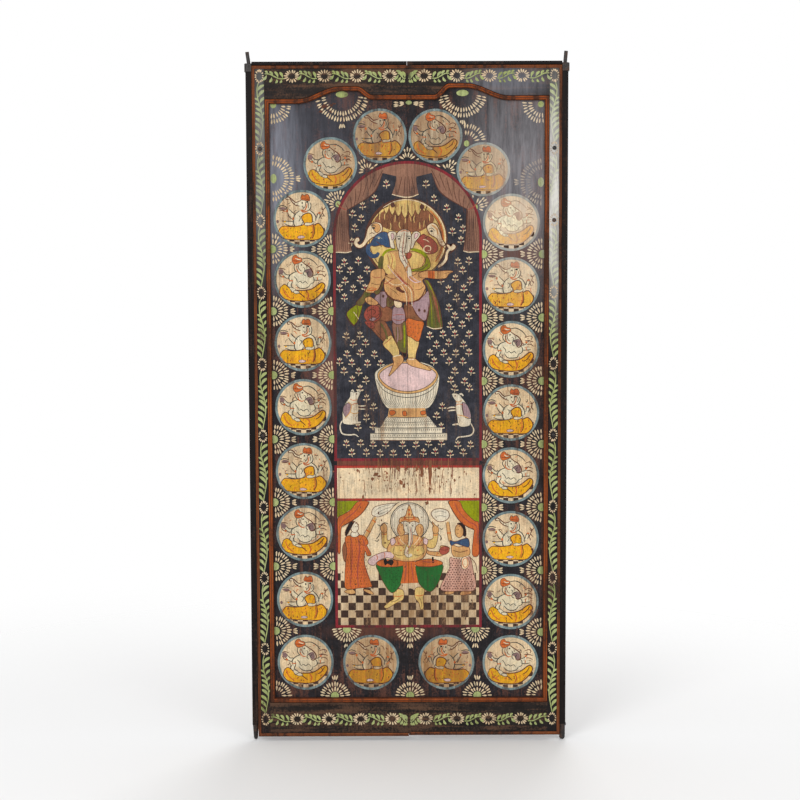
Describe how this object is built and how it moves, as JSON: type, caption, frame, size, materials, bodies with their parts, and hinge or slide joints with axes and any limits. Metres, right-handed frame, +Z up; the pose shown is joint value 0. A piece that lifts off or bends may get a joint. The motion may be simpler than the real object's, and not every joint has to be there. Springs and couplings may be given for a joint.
{
  "type": "painted pair of door leaves",
  "caption": "Pair of old painted plank door leaves with ogee-bordered panels, medallions and a niche, turning on iron pivots at their outer posts.",
  "frame": {"origin": "below the middle of the closed pair, at the height of the lower foot's tip", "axes": "+Z up, -Y towards the painted front, +X to the right as seen from the front"},
  "size_m": [0.946, 0.0744, 2.0445],
  "materials": {
    "iron": "worn black iron",
    "dark_wood": "old dark oiled wood",
    "panel_wood": "blue-black paint worn to brown wood",
    "back_wood": "bare old wood",
    "border_lacquer": "dark lacquer, worn",
    "bead_orange": "orange-brown paint, worn",
    "cream_paint": "old cream paint",
    "night_paint": "blue-black paint",
    "red_paint": "dull red paint",
    "brown_paint": "brown paint",
    "black_paint": "black paint",
    "grey_paint": "grey-blue paint",
    "ochre_paint": "yellow-ochre paint",
    "green_paint": "light green paint",
    "white_paint": "off-white paint"
  },
  "bodies": {
    "lintel_pins": {"left_top_pin": "iron", "right_top_pin": "iron"},
    "left_leaf": {"left_hinge_post": "dark_wood", "left_post_strap": "iron", "left_pivot_foot": "iron", "left_outer_plank": "panel_wood", "left_middle_plank": "panel_wood", "left_meeting_plank": "panel_wood", "left_low_batten": "back_wood", "left_middle_batten": "back_wood", "left_high_batten": "back_wood", "left_stile_board": "border_lacquer", "left_top_rail": "border_lacquer", "left_bottom_rail": "border_lacquer", "left_capping_strip": "dark_wood", "left_outer_bead": "bead_orange", "left_inner_bead": "bead_orange", "left_nails": "iron", "left_vine_flowers": "cream_paint", "left_niche_ground": "night_paint", "left_niche_border": "red_paint", "left_niche_curtain": "brown_paint", "left_cream_fields": "cream_paint", "left_floor_checks": "black_paint", "left_medallions": "cream_paint", "left_medallion_rings": "grey_paint", "left_yellow_garments": "ochre_paint", "left_fan_buds": "green_paint", "left_standing_figure": "ochre_paint", "left_pedestal_and_mouse": "white_paint", "left_seated_group": "ochre_paint"},
    "right_leaf": {"right_hinge_post": "dark_wood", "right_post_strap": "iron", "right_pivot_foot": "iron", "right_outer_plank": "panel_wood", "right_middle_plank": "panel_wood", "right_meeting_plank": "panel_wood", "right_low_batten": "back_wood", "right_middle_batten": "back_wood", "right_high_batten": "back_wood", "right_stile_board": "border_lacquer", "right_top_rail": "border_lacquer", "right_bottom_rail": "border_lacquer", "right_capping_strip": "dark_wood", "right_outer_bead": "bead_orange", "right_inner_bead": "bead_orange", "right_nails": "iron", "right_vine_flowers": "cream_paint", "right_niche_ground": "night_paint", "right_niche_border": "red_paint", "right_niche_curtain": "brown_paint", "right_cream_fields": "cream_paint", "right_floor_checks": "black_paint", "right_medallions": "cream_paint", "right_medallion_rings": "grey_paint", "right_yellow_garments": "ochre_paint", "right_fan_buds": "green_paint", "right_standing_figure": "ochre_paint", "right_pedestal_and_mouse": "white_paint", "right_seated_group": "ochre_paint"}
  },
  "joints": [
    {"name": "left_leaf_swing", "type": "hinge", "parent": "lintel_pins", "child": "left_leaf", "pos_m": [-0.461, -0.019, 2.01], "axis": [0, 0, 1], "range_deg": [0, 100]},
    {"name": "right_leaf_swing", "type": "hinge", "parent": "lintel_pins", "child": "right_leaf", "pos_m": [0.461, -0.019, 2.01], "axis": [0, 0, -1], "range_deg": [0, 100]}
  ]
}
